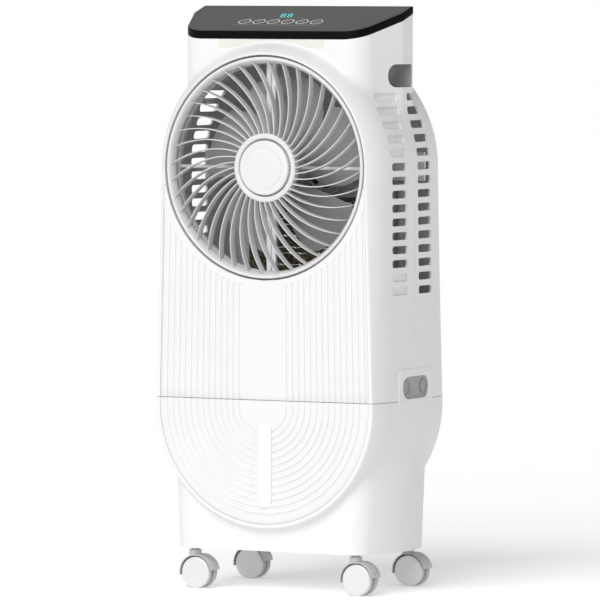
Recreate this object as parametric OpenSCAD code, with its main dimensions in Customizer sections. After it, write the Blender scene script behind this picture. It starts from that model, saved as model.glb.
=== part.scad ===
// Portable evaporative cooler on four twin-wheel casters.
// Origin: on the floor, under the middle of the casing. +Z up, -Y is the front, millimetres.

/* [Casing] */
// Overall height, floor to the back edge of the control plate
total_h = 740; // [738:1:744]
// Depth of the casing, front face to back face
body_d = 198; // [197:1:200]
// Half width of the casing at its side crease
crease_r = 164; // [163:0.5:166]
// Wall thickness of the moulded shells
wall = 3; // [2.5:0.25:3.5]
// Height of the joint line between the upper casing and the tank base
seam_z = 244; // [242:1:246]
// Height of the underside of the base
base_z = 52; // [51:1:54]

/* [Fan and grille] */
// Height of the fan centre
fan_z = 537; // [535:1:539]
// Radius of the round opening in the front
mouth_r = 142; // [141.5:0.25:142.5]
// Outer radius of the rotating louvre ring
ring_r = 139.6; // [138:0.2:140]
// Number of swirl vanes in the louvre ring
vanes = 40; // [30:1:44]
// Tip radius of the fan blades
fan_r = 118; // [105:1:120]
// Number of fan blades
fan_blades = 5; // [5:1:8]

/* [Vents] */
// Number of side vent slots in each column
slots = 15; // [8:1:15]
// Vertical pitch of the slots
slot_pitch = 17.4; // [16:0.2:18]
// Height of one slot
slot_h = 10; // [7:0.5:11]

/* [Casters] */
// Wheel diameter
wheel_d = 40; // [38:1:40]
// Distance between stems, side to side
stem_dx = 230; // [222:1:232]
// Distance between stems, front to back
stem_dy = 145; // [140:1:148]
// Distance from the stem's axis to the axle
trail = 6; // [4:0.5:8]

/* [Hidden] */
$fn = 64;
eps = 0.02;
gap = 0.3;
run = 0.05;
big = 1000;

// Casing sections: [y, radius of the top arc, radius of the bottom arc]. The sides taper away from
// the crease at y = 0, hardly at first, and turn over close to the rims, which are rounded.
y_f = -body_d / 2;
y_b = body_d / 2;
bottom_z = 236;
edge_round = 1.4;
taper_top = 20;
taper_low = 10.5;
function taper(y) = let (t = abs(y) / y_b) 0.15 * t + 0.85 * pow(t, 5);
function section(y, less) = [y, crease_r - taper_top * taper(y) - less, crease_r - taper_low * taper(y) - less];
stations = [-0.85, -0.6, 0, 0.6, 0.85];
pod_out = [for (t = concat(-1, -0.985, stations, 0.985, 1)) section(t * y_b, abs(t) == 1 ? edge_round : 0)];
pod_in = [for (y = concat(y_f + wall, stations * y_b, y_b - wall)) section(y, wall)];
tank_in = [for (y = concat(y_f + 8, stations * y_b, y_b - wall)) section(y, wall + 1)];

// Neck: the narrower column that carries the control plate
neck_w = 149.5;
neck_back = 22.5;
neck_side = -6;
neck_corner = [98, -42.5, 36];
tilt = 0.313;
plate_t = 10;
display_at = [-10, -17];
display_half = [22, 8];
touch_line_y = -41.5;
touch_shift = -6;
touch_pitch = 20.5;
touch_r = 8.5;

// Base column at the bottom and at the top: half width, front, back and corner radius. Its sides bulge.
base_foot = [154, -86, 92, 32];
base_head = [162.5, -88, 94, 34];
base_head_z = 236;
base_arc = 150;

// Front panels
panel_top_w = 142.5;
panel_low_w = 148.6;
panel_top_z = 514;
panel_t = 3;
band = 8.5;
rib_pitch = 8.6;
rib_first = 34;
rib_w = 3;
rib_h = 0.9;
gauge_w = 23;
gauge_z = [108, 219];

// Fan line, positions along Y
hub_r = 43.5;
cap_r = 34.3;
grille_y = [y_f + 1, y_f + 13];
spider_y = [y_f + 19, y_f + 26];
sync_y = [spider_y[1], spider_y[1] + 15];
rotor_y = [-52, -16];
motor_y = [-8, 38];
blade_root = 18;
blade_pitch = 25;
blade_t = 2.5;
shaft_r = 4;
grille_shaft_r = 3;

// Wet section
pad = [[-108, 46, 262], [108, 74, 506]];
window = [[-106, 262], [106, 560]];

// Vents
slot_top_z = 626;
slot_rear = [4.5, 39, 0.45];
slot_front = [-58.5, 35, 0.5];
open_slots = [5, 12];
// Ends of a slot along Y, from the column's [start, length, growth or shift per row]
function rear_slot(i) = let (y = slot_rear[0] + slot_rear[2] * i) [y, y + slot_rear[1]];
function front_slot(i) = [slot_front[0], slot_front[0] + slot_front[1] + slot_front[2] * (i - open_slots[0])];

// Hand grips and side tabs
grip_y = [-30, 19];
grip_z = [638, 667];
tab_y = [-45, 49];
tab_z = [236, 284];
tab_mid_z = (tab_z[0] + tab_z[1]) / 2;
tab_margin = [11, 10];
tab_wells = [-21, 26];

// Tank fittings
door_x = [-70, -20];
door_z = [192, 232];
door_pin = [96.2, 195.5];
drain_z = 74;
drain_head_y = [92.7, 95.7];
hose_at = [118, 54];
gland_at = [126, 300];

// Casters
wheel_r = wheel_d / 2;
stem_mid_y = 5;
stem_y = [stem_mid_y - stem_dy / 2, stem_mid_y + stem_dy / 2];
stem_r = 5;
axle_r = 3;
hood_w = 25;

// ---------- shared shapes ----------

// A thin slice of the casing: two arcs, one over the other
module pod_slice(s) {
    for (c = [[fan_z, s[1]], [bottom_z, s[2]]])
        translate([0, s[0], c[0]]) rotate([90, 0, 0]) cylinder(h = eps, r = c[1], center = true, $fn = 96);
}

module pod(sections) {
    hull() for (s = sections) pod_slice(s);
}

module neck_plan(inset) {
    hull() {
        translate([-neck_w + inset, neck_side])
            square([2 * (neck_w - inset), neck_back - neck_side - inset]);
        for (x = [-1, 1]) translate([x * neck_corner[0], neck_corner[1]])
            circle(r = neck_corner[2] - inset, $fn = 48);
    }
}

// Side profile of everything below the plate's underside, lowered by drop
module under_plate(drop) {
    z = total_h - plate_t - drop;
    rotate([90, 0, 90]) linear_extrude(2 * neck_w + 20, center = true)
        polygon([[-120, 0], [60, 0], [60, z + (60 - neck_back) * tilt], [-120, z - (120 + neck_back) * tilt]]);
}

module neck(inset) {
    intersection() {
        translate([0, 0, fan_z]) linear_extrude(total_h - fan_z) neck_plan(inset);
        under_plate(0);
    }
}

// A quarter of the base column's plan: the long side arc, then the corner arc that is tangent to it
function base_quarter(p, inset) = let (
        reach = base_arc - p[3],
        turn = asin(((p[2] - p[1]) / 2 - p[3]) / reach),
        corner = [p[0] - base_arc + reach * cos(turn), reach * sin(turn)])
    concat(
        [for (i = [0 : 4]) let (a = turn * i / 4) [p[0] - base_arc, 0] + (base_arc - inset) * [cos(a), sin(a)]],
        [for (i = [1 : 6]) let (a = turn + (90 - turn) * i / 6) corner + (p[3] - inset) * [cos(a), sin(a)]]);

module base_ring(p, inset, z) {
    for (x = [-1, 1], y = [-1, 1]) translate([0, (p[1] + p[2]) / 2, z])
        linear_extrude(eps) polygon([for (q = base_quarter(p, inset)) [x * q[0], y * q[1]]]);
}

module base_column(inset, z0) {
    hull() {
        base_ring(base_foot, inset, z0);
        base_ring(base_head, inset, base_head_z);
    }
}

module box(lo, hi) {
    translate(lo) cube(hi - lo);
}

// A cylinder along Y, from y0 to y1
module rod_y(x, z, r, y0, y1) {
    translate([x, y0, z]) rotate([-90, 0, 0]) cylinder(h = y1 - y0, r = r);
}

// A rod along X, from x0 to x1
module rod_x(y, z, r, x0, x1) {
    translate([x0, y, z]) rotate([0, 90, 0]) cylinder(h = x1 - x0, r = r);
}

// A slot with round ends that runs right through along X
module slot_x(y, z, h) {
    rotate([90, 0, 90]) linear_extrude(2 * big, center = true) {
        translate([y[0] + h / 2, z - h / 2]) square([y[1] - y[0] - h, h]);
        for (end = [y[0] + h / 2, y[1] - h / 2]) translate([end, z]) circle(d = h);
    }
}

module vents() {
    for (i = [0 : slots - 1]) {
        slot_x(rear_slot(i), slot_top_z - i * slot_pitch, slot_h);
        if (i >= open_slots[0] && i <= open_slots[1])
            slot_x(front_slot(i), slot_top_z - i * slot_pitch, slot_h);
    }
}

// Front outline of the ribbed panels, from z0 to z1, grown by grow
module panel_outline(z0, z1, grow) {
    slope = (panel_top_w - panel_low_w) / (panel_top_z - seam_z);
    w = [for (z = [z0, z1]) panel_low_w + grow + slope * (z - seam_z)];
    polygon([[-w[0], z0], [w[0], z0], [w[1], z1], [-w[1], z1]]);
}

// Extrudes a front outline from y0 to y1
module front_sheet(y0, y1) {
    translate([0, y1, 0]) rotate([90, 0, 0]) linear_extrude(y1 - y0) children();
}

module casing_upper() {
    difference() {
        union() {
            pod(pod_out);
            neck(0);
        }
        pod(pod_in);
        neck(wall);
        translate([0, 0, total_h - 90]) linear_extrude(120) neck_plan(wall);
        vents();
        for (x = [-1, 1])
            box([x > 0 ? 100 : -big, grip_y[0] - gap, grip_z[0] - gap],
                [x > 0 ? big : -100, grip_y[1] + gap, grip_z[1] + gap]);
        rod_y(0, fan_z, mouth_r, y_f - 10, y_f + 20);
        for (x = [-1, 1]) box([x > 0 ? 152 : -big, tab_y[0] - gap, tab_z[0] - gap],
            [x > 0 ? big : -152, tab_y[1] + gap, tab_z[1] + gap]);
    }
}

// ---------- casing ----------

module front_shell() {
    color("white") difference() {
        intersection() {
            casing_upper();
            box([-big, -big, seam_z + gap], [big, -gap / 2, big]);
        }
        front_sheet(y_f - 10, y_f + 12) panel_outline(seam_z - 5, panel_top_z, gap);
        box([-75, -big, 687], [75, -70, 703]);
    }
}

module rear_shell() {
    color("white") difference() {
        intersection() {
            casing_upper();
            box([-big, gap / 2, seam_z + gap], [big, big, big]);
        }
        front_sheet(y_b - 12, y_b + 10) translate([window[0][0] - gap, window[0][1] - gap])
            square([window[1][0] - window[0][0] + 2 * gap, window[1][1] - window[0][1] + 2 * gap]);
        rod_y(gland_at[0], gland_at[1], 9.2, y_b - 10, y_b + 10);
    }
}

module ribs_up() {
    for (i = [0 : 13], x = [-1, 1]) {
        w = rib_first + i * rib_pitch;
        translate([x * w - rib_w / 2, seam_z + gap]) square([rib_w, 400]);
    }
}

module front_panel() {
    color("white") {
        difference() {
            front_sheet(y_f + rib_h, y_f + panel_t) panel_outline(seam_z + gap, panel_top_z - gap, 0);
            rod_y(0, fan_z, mouth_r, y_f - 5, y_f + 20);
        }
        front_sheet(y_f, y_f + rib_h + eps) difference() {
            intersection() {
                ribs_up();
                panel_outline(seam_z + gap, panel_top_z - gap, 0);
            }
            translate([0, fan_z]) circle(r = mouth_r + band, $fn = 96);
        }
    }
}

module tank_outline(grow) {
    translate([0, bottom_z]) circle(r = panel_low_w + grow, $fn = 128);
}

module tank_front_panel() {
    color("white") {
        difference() {
            front_sheet(y_f + rib_h, y_f + panel_t) intersection() {
                tank_outline(0);
                translate([-big, 0]) square([2 * big, seam_z - gap]);
            }
            box([-gauge_w / 2 - gap, -big, gauge_z[0] - gap], [gauge_w / 2 + gap, 0, gauge_z[1] + gap]);
        }
        for (i = [0 : 12]) front_sheet(y_f, y_f + rib_h + eps) difference() {
            intersection() {
                translate([0, bottom_z]) circle(r = rib_first + i * rib_pitch + rib_w / 2);
                translate([-big, 0]) square([2 * big, seam_z - gap]);
            }
            translate([0, bottom_z]) circle(r = rib_first + i * rib_pitch - rib_w / 2);
            translate([-gauge_w / 2 - 1, gauge_z[0] - 1]) square([gauge_w + 2, gauge_z[1] - gauge_z[0] + 2]);
        }
    }
}

module gauge_window() {
    color("whitesmoke") translate([0, y_f + panel_t, 0]) rotate([90, 0, 0]) linear_extrude(panel_t - 1.2) {
        r = gauge_w / 2;
        translate([-r, gauge_z[0] + r]) square([gauge_w, gauge_z[1] - gauge_z[0] - gauge_w]);
        for (z = [gauge_z[0] + r, gauge_z[1] - r]) translate([0, z]) circle(r = r);
    }
}

module base_shell() {
    color("white") difference() {
        union() {
            intersection() {
                pod(pod_out);
                box([-big, -big, 0], [big, big, seam_z - gap]);
            }
            base_column(0, base_z);
            rod_y(40, drain_z, 11, 70, 91);
        }
        difference() {
            intersection() {
                union() {
                    pod(tank_in);
                    base_column(wall, base_z + 4);
                }
                box([-big, -big, base_z + 4], [big, big, big]);
            }
            rod_y(40, drain_z, 11, 70, 95);
            for (x = [door_x[0] - 6, door_x[1] + 1.5])
                box([x, 90, door_pin[1] - 5], [x + 4.5, y_b - 2, door_pin[1] + 5]);
        }
        front_sheet(y_f - 5, y_f + panel_t + gap) tank_outline(gap);
        rod_y(40, drain_z, 6 + run, 60, 100);
        box([door_x[0] - 0.8, 60, door_pin[1] - 4], [door_x[1] + 0.8, big, door_z[1] + 0.8]);
        rod_x(door_pin[0], door_pin[1], 1.5 + run, door_x[0] - 4, door_x[1] + 4);
        for (x = [-1, 1], y = stem_y) translate([x * stem_dx / 2, y, 0]) cylinder(h = 80, r = 9 + run);
        for (x = [-1, 1]) box([x > 0 ? 152 : -big, tab_y[0] - gap, tab_z[0] - gap],
            [x > 0 ? big : -152, tab_y[1] + gap, tab_z[1] + gap]);
    }
}

module hand_grips() {
    color("silver") for (x = [-1, 1]) mirror([x < 0 ? 1 : 0, 0, 0]) difference() {
        intersection() {
            box([116, grip_y[0], grip_z[0]], [200, grip_y[1], grip_z[1]]);
            translate([0, 0, 600]) linear_extrude(100) neck_plan(0.4);
        }
        box([118.5, grip_y[0] + 2.5, grip_z[0] + 2.5], [200, grip_y[1] - 2.5, grip_z[1] - 2.5]);
    }
}

module side_tabs() {
    color("white") difference() {
        intersection() {
            pod([for (s = pod_out) [s[0], s[1] + 1.3, s[2] + 1.3]]);
            for (x = [-1, 1]) mirror([x < 0 ? 1 : 0, 0, 0])
                box([152.5, tab_y[0], tab_z[0]], [200, tab_y[1], tab_z[1]]);
        }
        for (x = [-1, 1]) mirror([x < 0 ? 1 : 0, 0, 0])
            box([157, tab_y[0] + tab_margin[0], tab_z[0] + tab_margin[1]],
                [200, tab_y[1] - tab_margin[0], tab_z[1] - tab_margin[1]]);
    }
}

module tab_inserts() {
    color("silver") for (x = [-1, 1]) mirror([x < 0 ? 1 : 0, 0, 0]) difference() {
        box([157 + eps, tab_y[0] + tab_margin[0] + gap, tab_z[0] + tab_margin[1] + gap],
            [160, tab_y[1] - tab_margin[0] - gap, tab_z[1] - tab_margin[1] - gap]);
        for (y = tab_wells) rod_x(y, tab_mid_z, 9.5, 158, 170);
    }
}

module tab_screws() {
    color("gray") for (x = [-1, 1], y = tab_wells) mirror([x < 0 ? 1 : 0, 0, 0])
        rod_x(y, tab_mid_z, 4, 158 + eps, 159.6);
}

// ---------- controls ----------

module plate_slab(z0, z1) {
    rotate([90, 0, 90]) linear_extrude(2 * neck_w + 20, center = true)
        polygon([for (p = [[-120, z0], [60, z0], [60, z1], [-120, z1]])
            [p[0], total_h + p[1] + (p[0] - neck_back) * tilt]]);
}

module display_box(inset) {
    h = [for (v = display_half) v - inset];
    box([display_at[0] - h[0], display_at[1] - h[1], 600], [display_at[0] + h[0], display_at[1] + h[1], 800]);
}

module touch_column(i, r) {
    translate([(i - 2.5) * touch_pitch + touch_shift, touch_line_y, 600]) cylinder(h = 200, r = r);
}

module control_plate() {
    color("black") difference() {
        intersection() {
            translate([0, 0, 600]) linear_extrude(200) neck_plan(0);
            plate_slab(-plate_t + gap, 0);
        }
        intersection() {
            display_box(0);
            plate_slab(-1.5, 5);
        }
        for (i = [0 : 5]) intersection() {
            touch_column(i, touch_r);
            plate_slab(-1.2, 5);
        }
    }
}

module display_window() {
    color("darkslategray") intersection() {
        display_box(gap);
        plate_slab(-1.5 + eps, -0.05);
    }
}

module touch_pads() {
    color("dimgray") for (i = [0 : 5]) intersection() {
        touch_column(i, touch_r - gap);
        plate_slab(-1.2 + eps, -0.05);
    }
}

module light_bar() {
    color("lightyellow") intersection() {
        box([-75 + gap, -78, 687 + gap], [75 - gap, -74, 703 - gap]);
        translate([0, 0, 600]) linear_extrude(200) neck_plan(0.2);
        under_plate(gap);
    }
}

module control_board() {
    color("green") intersection() {
        box([-70, -60, 600], [70, 0, 800]);
        plate_slab(-plate_t - 6, -plate_t - 4);
    }
    color("gray") for (x = [-60, 60], y = [-50, -8]) intersection() {
        translate([x, y, 600]) cylinder(h = 200, r = 3);
        plate_slab(-plate_t - 4, -plate_t + gap);
    }
}

// ---------- rotating louvre grille ----------

// Centre line of a vane: its angle grows evenly from the hub to the rim
vane_r0 = hub_r - 2;
vane_r1 = ring_r - 4;
vane_sweep = 26;
vane_t = 1.8;
function vane_point(t, off) =
    let (r = vane_r0 + (vane_r1 - vane_r0) * t, a = vane_sweep * t,
        lean = atan(r * vane_sweep * PI / 180 / (vane_r1 - vane_r0)))
    [r * cos(a) - off * sin(a + lean), r * sin(a) + off * cos(a + lean)];

module vane() {
    steps = 8;
    polygon(concat([for (i = [0 : steps]) vane_point(i / steps, vane_t / 2)],
        [for (i = [steps : -1 : 0]) vane_point(i / steps, -vane_t / 2)]));
}

module louvre_grille() {
    color("whitesmoke") {
        translate([0, 0, fan_z]) rotate([90, 0, 0]) {
            translate([0, 0, -grille_y[1]]) rotate_extrude($fn = 128) {
                translate([ring_r - 8, 0]) square([8, 12]);
                polygon([[grille_shaft_r + 0.02, 0], [hub_r, 0], [hub_r, 12], [cap_r + 2, 12], [cap_r + 2, 4],
                    [8, 4], [8, 8], [grille_shaft_r + 0.02, 8]]);
            }
            for (i = [0 : vanes - 1]) rotate([0, 0, i * 360 / vanes])
                translate([0, 0, 0.7 - grille_y[1]]) linear_extrude(9.3) vane();
        }
    }
}

module grille_cap() {
    color("white") difference() {
        rod_y(0, fan_z, cap_r, y_f, grille_y[1] - 4);
        rod_y(0, fan_z, cap_r - 3, y_f + 3, grille_y[1]);
    }
}

module grille_shaft() {
    color("silver") rod_y(0, fan_z, grille_shaft_r, grille_y[1] - 7, sync_y[0] + 8);
}

module spider_frame() {
    color("gray") difference() {
        union() {
            rod_y(0, fan_z, 30, spider_y[0], spider_y[1]);
            difference() {
                rod_y(0, fan_z, 145, spider_y[0], spider_y[1]);
                rod_y(0, fan_z, 131, spider_y[0] - 1, spider_y[1] + 1);
            }
            box([-5, spider_y[0] + 1, fan_z - 132], [5, spider_y[1], fan_z + 132]);
            box([-132, spider_y[0] + 2, fan_z - 2.5], [132, spider_y[1], fan_z + 2.5]);
        }
        rod_y(0, fan_z, grille_shaft_r + run, spider_y[0] - 1, spider_y[1] + 1);
    }
}

module grille_motor() {
    color("silver") difference() {
        rod_y(0, fan_z, 25, sync_y[0], sync_y[1]);
        rod_y(0, fan_z, grille_shaft_r + run, sync_y[0] - 1, sync_y[0] + 10);
    }
}

// ---------- fan ----------

module blade() {
    intersection() {
        translate([blade_root, 0, 0]) rotate([blade_pitch, 0, 0]) translate([0, -blade_t / 2, 0])
            rotate([90, 0, 0]) translate([0, 0, -blade_t]) linear_extrude(blade_t) polygon([
                [0, -16], [40, -32], [80, -38], [fan_r - blade_root, -32], [fan_r - blade_root, 34],
                [80, 36], [40, 28], [0, 16]]);
        rotate([90, 0, 0]) cylinder(h = rotor_y[1] - rotor_y[0], r = fan_r, center = true, $fn = 96);
    }
}

module fan_blades() {
    color("darkgray") translate([0, (rotor_y[0] + rotor_y[1]) / 2, fan_z]) {
        difference() {
            union() {
                rotate([90, 0, 0]) cylinder(h = 30, r = 26, center = true);
                for (i = [0 : fan_blades - 1]) rotate([0, i * 360 / fan_blades, 0]) blade();
            }
            rotate([90, 0, 0]) cylinder(h = 60, r = shaft_r + 0.02, center = true);
        }
    }
}

module fan_shaft() {
    color("silver") rod_y(0, fan_z, shaft_r, rotor_y[0] - 5, motor_y[0] + 26);
}

module fan_nut() {
    color("gray") difference() {
        rod_y(0, fan_z, 9, rotor_y[0] - 4, rotor_y[0] + 2.9);
        rod_y(0, fan_z, shaft_r + 0.02, rotor_y[0] - 10, rotor_y[0] + 5);
    }
}

module fan_motor() {
    color("dimgray") difference() {
        union() {
            rod_y(0, fan_z, 42, motor_y[0], motor_y[1]);
            rod_y(0, fan_z, 12, motor_y[0] - 4, motor_y[0] + 1);
        }
        rod_y(0, fan_z, shaft_r + run, motor_y[0] - 5, motor_y[0] + 30);
        for (x = [-1, 1], z = [-1, 1]) rod_y(x * 26, fan_z + z * 26, 2.1, motor_y[1] - 8, motor_y[1] + 1);
    }
}

module motor_bracket() {
    color("gray") difference() {
        union() {
            box([-157.6, motor_y[1] + eps, fan_z - 18], [157.6, motor_y[1] + 4, fan_z + 18]);
            rod_y(0, fan_z, 46, motor_y[1] + eps, motor_y[1] + 4);
        }
        for (x = [-1, 1], z = [-1, 1]) rod_y(x * 26, fan_z + z * 26, 2.1, 0, 60);
    }
}

module motor_screws() {
    color("silver") for (x = [-1, 1], z = [-1, 1]) {
        rod_y(x * 26, fan_z + z * 26, 2, motor_y[1] - 7, motor_y[1] + 4.5);
        rod_y(x * 26, fan_z + z * 26, 3.8, motor_y[1] + 4.05, motor_y[1] + 6.5);
    }
}

// ---------- wet section ----------

module cooling_pad() {
    inset = [4, 3, 4];
    color("saddlebrown") box(pad[0] + inset, pad[1] - inset);
}

module pad_frame() {
    color("gray") difference() {
        box(pad[0], pad[1]);
        box(pad[0] + [3.7, 2.5, 3.7], pad[1] + [-3.7, -2.5, 50]);
        box([pad[0][0] + 10, 0, pad[0][2] + 10], [pad[1][0] - 10, 100, pad[1][2] - 10]);
    }
}

module water_trough() {
    color("gray") difference() {
        box([pad[0][0], pad[0][1], pad[1][2] + gap], [pad[1][0], pad[1][1], pad[1][2] + 18]);
        box([pad[0][0] + 2.5, pad[0][1] + 2.5, pad[1][2] + 3], pad[1] + [-2.5, -2.5, 30]);
        rod_x(hose_at[1], 515, 3.5, pad[1][0] - 10, pad[1][0] + 10);
        for (i = [-5 : 5]) translate([i * 18, (pad[0][1] + pad[1][1]) / 2, 400]) cylinder(h = 200, r = 2);
    }
}

module riser_hose() {
    color("lightgray") translate([hose_at[0], hose_at[1], 0]) {
        difference() {
            union() {
                translate([0, 0, 97.5]) cylinder(h = 421, r = 5);
                rod_x(0, 515, 5, pad[1][0] + gap - hose_at[0], 4);
            }
            translate([0, 0, 90]) cylinder(h = 425, r = 3.5);
            rod_x(0, 515, 3.5, -20, 0);
        }
    }
}

module water_pump() {
    color("black") {
        box([96, 34, base_z + 4 + eps], [132, 66, 88]);
        translate([hose_at[0], hose_at[1], 88 - eps]) cylinder(h = 9, r = 7);
    }
}

module tank_deck() {
    color("lightgray") difference() {
        intersection() {
            pod([for (s = pod_in) [s[0] + (s[0] < 0 ? 8 : (s[0] > 0 ? -2 : 0)), s[1] - 9, s[2] - 9]]);
            box([-big, -big, seam_z + 1], [big, big, seam_z + 4]);
        }
        translate([hose_at[0], hose_at[1], 0]) cylinder(h = 400, r = 5 + gap);
        for (x = [-100 : 20 : 100]) translate([x, 60, 0]) cylinder(h = 400, r = 3);
    }
}

module deck_screws() {
    color("silver") for (x = [-70, 70], y = [-60, 20])
        translate([x, y, seam_z + 4 + eps]) cylinder(h = 2.5, r = 4);
}

module float_sensor() {
    color("white") {
        translate([-110, 40, base_z + 4 + eps]) cylinder(h = 60, r = 3);
        difference() {
            translate([-110, 40, 84]) cylinder(h = 16, r = 11);
            translate([-110, 40, 80]) cylinder(h = 30, r = 3.4);
        }
    }
}

module rear_grille() {
    bars = 22;
    h = window[1][1] - window[0][1];
    color("white") {
        front_sheet(y_b - 7, y_b - 2) difference() {
            translate(window[0]) square(window[1] - window[0]);
            for (i = [0 : bars - 1], x = [-1, 0, 1]) translate([x * 66 - 30, window[0][1] + 9 + i * (h - 14) / bars])
                square([60, (h - 14) / bars - 4]);
        }
    }
}

module dust_filter() {
    color("dimgray") front_sheet(y_b - 12, y_b - 8) difference() {
        translate(window[0]) square(window[1] - window[0]);
        for (i = [0 : 3], x = [-1, 0, 1]) translate([x * 66 - 30, window[0][1] + 8 + i * 72]) square([60, 66]);
    }
}

module filler_door() {
    color("white") difference() {
        union() {
            box([door_x[0], y_b - 3, door_pin[1]], [door_x[1], y_b - 0.5, door_z[1]]);
            rod_x(door_pin[0], door_pin[1], 2.8, door_x[0], door_x[1]);
        }
        rod_x(door_pin[0], door_pin[1], 1.5 + 0.02, door_x[0] - 1, door_x[1] + 1);
    }
}

module filler_pin() {
    color("silver") rod_x(door_pin[0], door_pin[1], 1.5, door_x[0] - 3.5, door_x[1] + 3.5);
}

module drain_plug() {
    color("gray") {
        rod_y(40, drain_z, 6, 72, drain_head_y[0] + eps);
        rod_y(40, drain_z, 9.5, drain_head_y[0], drain_head_y[1]);
    }
}

module cord_gland() {
    color("black") difference() {
        union() {
            rod_y(gland_at[0], gland_at[1], 9, y_b - 9, y_b - 0.5);
            rod_y(gland_at[0], gland_at[1], 7, y_b - 14, y_b - 8);
        }
        rod_y(gland_at[0], gland_at[1], 3.6, y_b - 20, y_b + 10);
    }
}

// ---------- casters ----------

module caster_sockets() {
    color("gray") for (x = [-1, 1], y = stem_y) translate([x * stem_dx / 2, y, 0]) difference() {
        union() {
            translate([0, 0, base_z - 1]) cylinder(h = 1 - eps, r = 12);
            translate([0, 0, base_z - 1]) cylinder(h = 22, r = 9);
        }
        translate([0, 0, base_z - 2]) cylinder(h = 20, r = stem_r + 0.06);
    }
}

module at_caster(i) {
    translate([(i % 2 == 0 ? -1 : 1) * stem_dx / 2, stem_y[i < 2 ? 0 : 1], 0]) children();
}

module caster_hood(i) {
    hood_r = wheel_r + 3;
    color("lightgray") at_caster(i) difference() {
        union() {
            cylinder(h = base_z + 16, r = stem_r);
            translate([0, 0, wheel_r + 16]) cylinder(h = base_z - 2 - wheel_r - 16, r = 8);
            translate([trail, 0, wheel_r]) rotate([90, 0, 0]) intersection() {
                union() {
                    difference() {
                        cylinder(h = hood_w, r = hood_r, center = true);
                        cylinder(h = hood_w + 1, r = hood_r - 2, center = true);
                    }
                    cylinder(h = 3, r = hood_r - 1, center = true);
                }
                translate([-50, -4, -50]) cube([100, 100, 100]);
            }
            translate([trail, 0, wheel_r]) rotate([90, 0, 0]) cylinder(h = 3, r = 7, center = true);
        }
        translate([0, 0, -1]) cylinder(h = wheel_r - 5 + 1, r = 20);
        for (y = [-1, 1]) translate([trail, y * (1.5 + 11 / 2 + 0.3), wheel_r]) rotate([90, 0, 0])
            cylinder(h = 11.6, r = wheel_r + 0.8, center = true);
        translate([trail, 0, wheel_r]) rotate([90, 0, 0]) cylinder(h = 60, r = axle_r + run, center = true);
    }
}

module caster_axle(i) {
    color("silver") at_caster(i) translate([trail, 0, wheel_r]) rotate([90, 0, 0])
        cylinder(h = 21, r = axle_r, center = true);
}

module caster_wheels(i) {
    color("white") at_caster(i) for (y = [-1, 1]) translate([trail, y * 7.2, wheel_r]) difference() {
        rotate([90, 0, 0]) cylinder(h = 10, r = wheel_r, center = true);
        rotate([90, 0, 0]) cylinder(h = 20, r = axle_r + 0.02, center = true);
    }
}

front_shell();
rear_shell();
front_panel();
base_shell();
tank_front_panel();
gauge_window();
control_plate();
display_window();
touch_pads();
light_bar();
control_board();
louvre_grille();
grille_cap();
grille_shaft();
spider_frame();
grille_motor();
fan_blades();
fan_shaft();
fan_nut();
fan_motor();
motor_bracket();
motor_screws();
cooling_pad();
pad_frame();
water_trough();
riser_hose();
water_pump();
tank_deck();
deck_screws();
float_sensor();
rear_grille();
dust_filter();
hand_grips();
side_tabs();
tab_inserts();
tab_screws();
filler_door();
filler_pin();
drain_plug();
cord_gland();
caster_sockets();
caster_hood(0);  // hood_front_left
caster_axle(0);  // axle_front_left
caster_wheels(0);  // wheels_front_left
caster_hood(1);  // hood_front_right
caster_axle(1);  // axle_front_right
caster_wheels(1);  // wheels_front_right
caster_hood(2);  // hood_back_left
caster_axle(2);  // axle_back_left
caster_wheels(2);  // wheels_back_left
caster_hood(3);  // hood_back_right
caster_axle(3);  // axle_back_right
caster_wheels(3);  // wheels_back_right
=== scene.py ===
# Looks of a portable evaporative cooler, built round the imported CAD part.
import math

import bmesh
import bpy
import numpy as np
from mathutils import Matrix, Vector


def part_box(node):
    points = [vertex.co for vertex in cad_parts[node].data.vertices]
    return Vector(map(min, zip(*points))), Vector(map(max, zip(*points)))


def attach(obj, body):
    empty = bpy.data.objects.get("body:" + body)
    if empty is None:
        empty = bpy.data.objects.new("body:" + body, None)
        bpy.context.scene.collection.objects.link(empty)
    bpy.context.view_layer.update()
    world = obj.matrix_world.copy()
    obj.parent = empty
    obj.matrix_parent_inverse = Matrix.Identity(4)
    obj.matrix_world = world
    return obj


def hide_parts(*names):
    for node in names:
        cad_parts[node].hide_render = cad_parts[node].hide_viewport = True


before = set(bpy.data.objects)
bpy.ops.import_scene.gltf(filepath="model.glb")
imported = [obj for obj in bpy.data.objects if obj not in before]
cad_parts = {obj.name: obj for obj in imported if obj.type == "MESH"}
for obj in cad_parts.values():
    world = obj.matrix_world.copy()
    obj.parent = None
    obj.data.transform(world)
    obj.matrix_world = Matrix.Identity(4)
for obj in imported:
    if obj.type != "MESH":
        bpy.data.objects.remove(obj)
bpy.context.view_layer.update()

# The shape functions work in millimetres in the part's frame: origin on the floor, +Z up, -Y the front.
MM = 0.001
# Radius at which a turned shape starts, so that its middle is not a single point
AXIS_R = 0.01


def corners(node):
    """Lowest and highest corner of a CAD node, in millimetres."""
    low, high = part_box(node)
    return np.array(low) / MM, np.array(high) / MM


def middle(node):
    low, high = corners(node)
    return (low + high) / 2


# Places taken from the frame
HALF_D = corners("base_shell")[1][1]
FRONT = -HALF_D
BASE_Z = corners("base_shell")[0][2]
TOP_Z = corners("control_plate")[1][2]
FAN_Z = middle("louvre_grille")[2]

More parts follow.
